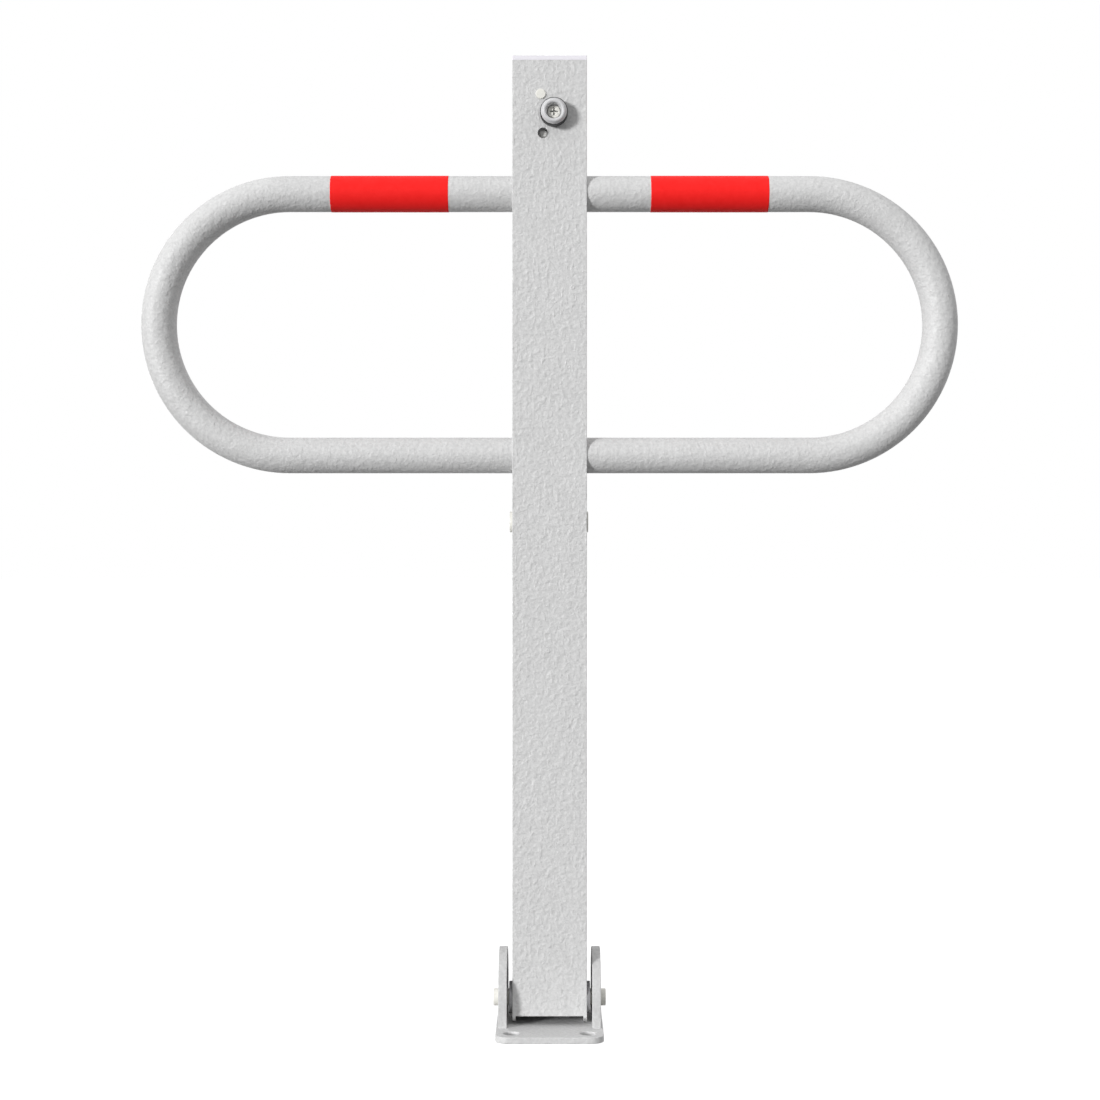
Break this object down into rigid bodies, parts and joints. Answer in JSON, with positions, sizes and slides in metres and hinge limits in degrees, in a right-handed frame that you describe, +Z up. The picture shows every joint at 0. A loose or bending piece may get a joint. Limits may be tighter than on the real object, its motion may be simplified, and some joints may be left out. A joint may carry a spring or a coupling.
{
  "type": "folding parking barrier",
  "caption": "Fold-down parking barrier: square galvanised post on a bolted base, tube hoops reaching out sideways with red bands, and a turn-knob lock near the top.",
  "frame": {"origin": "middle of the base plate's underside, on the ground", "axes": "+X to the right as seen from the knob side, +Y towards the back, +Z up along the post"},
  "size_m": [0.7732, 0.17, 0.916],
  "materials": {
    "galvanised_steel": "hot-dip galvanised, dull, with a fine dimpled skin",
    "bright_zinc": "bright zinc plate with a faint cream tint",
    "knob_zinc": "zinc plated, turned, satin",
    "bare_steel": "mill finish, oiled",
    "hardened_steel": "blackened",
    "bearing_bronze": "machined bronze",
    "black_plastic": "moulded, black, finely grained",
    "red_film": "reflective film, smooth",
    "cap_plastic": "moulded, light grey with a faint violet tint, matt"
  },
  "bodies": {
    "base": {"base_plate": "galvanised_steel", "ear_left": "galvanised_steel", "ear_right": "galvanised_steel", "pivot_axle": "bright_zinc", "washer_left": "bare_steel", "washer_right": "bare_steel", "keeper_block": "hardened_steel"},
    "post": {"post_tube": "galvanised_steel", "pivot_bush": "bare_steel", "hoop_left": "galvanised_steel", "hoop_right": "galvanised_steel", "band_left": "red_film", "band_right": "red_film", "end_cap": "cap_plastic", "guide_plate_lower": "bare_steel", "guide_plate_upper": "bare_steel", "cross_pin": "bright_zinc", "pin_clip": "bright_zinc", "pin_sleeve_left": "bare_steel", "pin_sleeve_right": "bare_steel", "bearing_plate": "bare_steel", "spindle_bush": "bearing_bronze", "stop_pin": "bright_zinc", "spare_plug": "bright_zinc"},
    "lock_knob": {"knob": "knob_zinc", "knob_sleeve": "black_plastic", "knob_screw": "bright_zinc", "spindle": "bare_steel", "crank_disc": "hardened_steel", "lift_pin": "hardened_steel"},
    "locking_rod": {"locking_bar": "bare_steel", "lock_bolt": "bright_zinc", "spring_collar": "bare_steel", "return_spring": "bright_zinc", "yoke_plate": "hardened_steel"}
  },
  "joints": [
    {"name": "fold", "type": "hinge", "parent": "base", "child": "post", "pos_m": [0, -0.02, 0.0295], "axis": [1, 0, 0], "range_deg": [0, 90]},
    {"name": "knob_turn", "type": "hinge", "parent": "post", "child": "lock_knob", "pos_m": [0.004, -0.035, 0.862], "axis": [0, 1, 0], "range_deg": [0, 116.6]},
    {"name": "bolt_drop", "type": "slide", "parent": "post", "child": "locking_rod", "axis": [0, 0, -1], "range_m": [0, 0.02042], "deforming": ["return_spring"]}
  ],
  "couplings": [
    {"joint": "knob_turn", "follows": "bolt_drop", "rad_per_m": 99.6}
  ]
}
